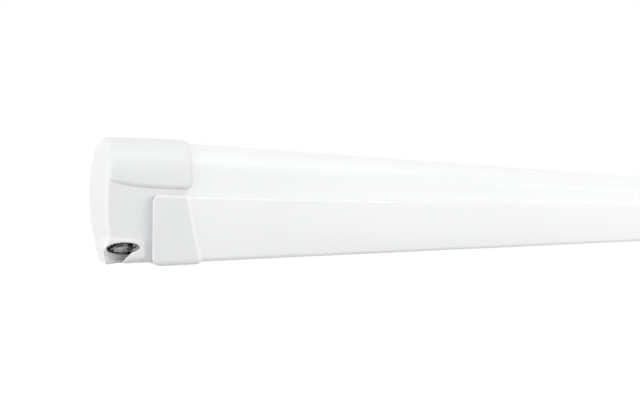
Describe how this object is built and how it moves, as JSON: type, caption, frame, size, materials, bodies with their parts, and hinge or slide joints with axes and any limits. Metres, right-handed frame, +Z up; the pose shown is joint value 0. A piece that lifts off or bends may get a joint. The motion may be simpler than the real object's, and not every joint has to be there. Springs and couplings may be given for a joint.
{
  "type": "roll out awning",
  "caption": "Wall-mounted cassette awning for a camper: rounded case, folding arms, roller with worm winch, lead rail with stowed telescopic legs, shown closed.",
  "frame": {"origin": "middle of the awning on the wall plane, at the centre of the middle wall bracket's back face and screw pattern", "axes": "+X along the awning's length to the right as seen from in front, +Y into the wall, +Z up"},
  "size_m": [2.5992, 0.1206, 0.16],
  "materials": {
    "white_paint": "satin white powder coat on extruded aluminium",
    "white_plastic": "satin white moulded plastic",
    "grey_casting": "grey die-cast aluminium",
    "bare_aluminium": "anodised aluminium extrusion",
    "plated_steel": "zinc plated steel",
    "winch_steel": "turned steel, slightly tarnished",
    "bearing_plastic": "natural bearing plastic",
    "black_plastic": "black moulded plastic",
    "black_rubber": "matt black rubber",
    "awning_fabric": "coated grey awning cloth"
  },
  "bodies": {
    "cassette": {"case_profile": "white_paint", "left_end_plate": "grey_casting", "right_end_plate": "grey_casting", "left_end_cap": "white_plastic", "right_end_cap": "white_plastic", "roller_bushes": "bearing_plastic", "gearbox_housing": "grey_casting", "wall_brackets": "bare_aluminium", "left_shoulder_bracket": "grey_casting", "right_shoulder_bracket": "grey_casting", "shoulder_pins": "plated_steel", "cassette_seal": "black_rubber", "end_plate_screws": "plated_steel", "bracket_screws": "plated_steel"},
    "winch": {"worm_shaft": "plated_steel", "winch_socket": "winch_steel"},
    "roller": {"roller_tube": "bare_aluminium", "fabric_roll": "awning_fabric", "left_roller_plug": "grey_casting", "right_roller_plug": "grey_casting", "worm_wheel": "plated_steel"},
    "left_upper": {"left_upper_arm": "white_paint", "left_shoulder_knuckle": "grey_casting", "left_elbow_fork": "grey_casting", "left_elbow_pin": "plated_steel", "left_arm_spring": "plated_steel"},
    "left_fore": {"left_forearm": "white_paint", "left_elbow_knuckle": "grey_casting", "left_wrist_knuckle": "grey_casting"},
    "right_upper": {"right_upper_arm": "white_paint", "right_shoulder_knuckle": "grey_casting", "right_elbow_fork": "grey_casting", "right_elbow_pin": "plated_steel", "right_arm_spring": "plated_steel"},
    "right_fore": {"right_forearm": "white_paint", "right_elbow_knuckle": "grey_casting", "right_wrist_knuckle": "grey_casting"},
    "lead_rail": {"front_rail": "white_paint", "left_rail_cap": "white_plastic", "right_rail_cap": "white_plastic", "left_wrist_bracket": "grey_casting", "right_wrist_bracket": "grey_casting", "wrist_pins": "plated_steel", "leg_brackets": "grey_casting", "leg_pins": "plated_steel", "front_piping": "awning_fabric"},
    "left_leg": {"left_leg_tube": "bare_aluminium", "left_leg_hinge": "bearing_plastic", "left_leg_collar": "black_plastic"},
    "left_inner_leg": {"left_leg_extension": "bare_aluminium"},
    "left_lever": {"left_leg_lever": "black_plastic"},
    "left_shoe": {"left_foot": "black_rubber"},
    "right_leg": {"right_leg_tube": "bare_aluminium", "right_leg_hinge": "bearing_plastic", "right_leg_collar": "black_plastic"},
    "right_inner_leg": {"right_leg_extension": "bare_aluminium"},
    "right_lever": {"right_leg_lever": "black_plastic"},
    "right_shoe": {"right_foot": "black_rubber"},
    "fabric_edge": {"fabric_lead": "awning_fabric"}
  },
  "joints": [
    {"name": "left_shoulder", "type": "hinge", "parent": "cassette", "child": "left_upper", "pos_m": [-1.17, -0.02771, -0.036], "axis": [0, 0.1736, -0.9848], "range_deg": [0, 64]},
    {"name": "left_elbow", "type": "hinge", "parent": "left_upper", "child": "left_fore", "pos_m": [-0.05, -0.04445, -0.03895], "axis": [0, -0.1736, 0.9848], "range_deg": [0, 128]},
    {"name": "left_wrist", "type": "hinge", "parent": "left_fore", "child": "lead_rail", "pos_m": [-1.17, -0.0612, -0.0419], "axis": [0, 0.1736, -0.9848], "range_deg": [0, 64]},
    {"name": "right_shoulder", "type": "hinge", "parent": "cassette", "child": "right_upper", "pos_m": [1.17, -0.02771, -0.036], "axis": [0, -0.1736, 0.9848], "range_deg": [0, 64]},
    {"name": "right_elbow", "type": "hinge", "parent": "right_upper", "child": "right_fore", "pos_m": [0.05, -0.04445, -0.03895], "axis": [0, 0.1736, -0.9848], "range_deg": [0, 128]},
    {"name": "roller_spin", "type": "hinge", "parent": "cassette", "child": "roller", "pos_m": [0, -0.04543, 0.03191], "axis": [-1, 0, 0], "range_deg": [0, 3728.59]},
    {"name": "winch_spin", "type": "hinge", "parent": "cassette", "child": "winch", "pos_m": [-1.274, -0.06636, 0.03871], "axis": [0, -0.309, -0.9511], "range_deg": [0, 41014.4]},
    {"name": "fabric_slide", "type": "slide", "parent": "cassette", "child": "fabric_edge", "axis": [0, -0.9848, -0.1736], "range_m": [0, 1.9943], "deforming": ["fabric_lead"]},
    {"name": "left_leg_swing", "type": "hinge", "parent": "lead_rail", "child": "left_leg", "pos_m": [-1.2135, -0.10605, -0.05], "axis": [0, 1, 0], "range_deg": [0, 90]},
    {"name": "left_leg_slide", "type": "slide", "parent": "left_leg", "child": "left_inner_leg", "axis": [1, 0, 0], "range_m": [0, 1]},
    {"name": "left_lever_swing", "type": "hinge", "parent": "left_leg", "child": "left_lever", "pos_m": [-0.0035, -0.10605, -0.0665], "axis": [0, -1, 0], "range_deg": [0, 100]},
    {"name": "left_shoe_swing", "type": "hinge", "parent": "left_inner_leg", "child": "left_shoe", "pos_m": [0.0445, -0.10605, -0.05], "axis": [0, 1, 0], "range_deg": [-25, 25]},
    {"name": "right_leg_swing", "type": "hinge", "parent": "lead_rail", "child": "right_leg", "pos_m": [1.2135, -0.09055, -0.05], "axis": [0, -1, 0], "range_deg": [0, 90]},
    {"name": "right_leg_slide", "type": "slide", "parent": "right_leg", "child": "right_inner_leg", "axis": [-1, 0, 0], "range_m": [0, 1]},
    {"name": "right_lever_swing", "type": "hinge", "parent": "right_leg", "child": "right_lever", "pos_m": [0.0035, -0.09055, -0.0665], "axis": [0, 1, 0], "range_deg": [0, 100]},
    {"name": "right_shoe_swing", "type": "hinge", "parent": "right_inner_leg", "child": "right_shoe", "pos_m": [-0.0445, -0.09055, -0.05], "axis": [0, -1, 0], "range_deg": [-25, 25]}
  ],
  "couplings": [
    {"joint": "left_elbow", "follows": "left_shoulder", "ratio": 2},
    {"joint": "left_wrist", "follows": "left_shoulder", "ratio": 1},
    {"joint": "right_shoulder", "follows": "left_shoulder", "ratio": 1},
    {"joint": "right_elbow", "follows": "left_shoulder", "ratio": 2},
    {"joint": "roller_spin", "follows": "left_shoulder", "ratio": 58.259},
    {"joint": "winch_spin", "follows": "left_shoulder", "ratio": 640.85},
    {"joint": "fabric_slide", "follows": "left_shoulder", "m_per_rad": 1.7853}
  ]
}
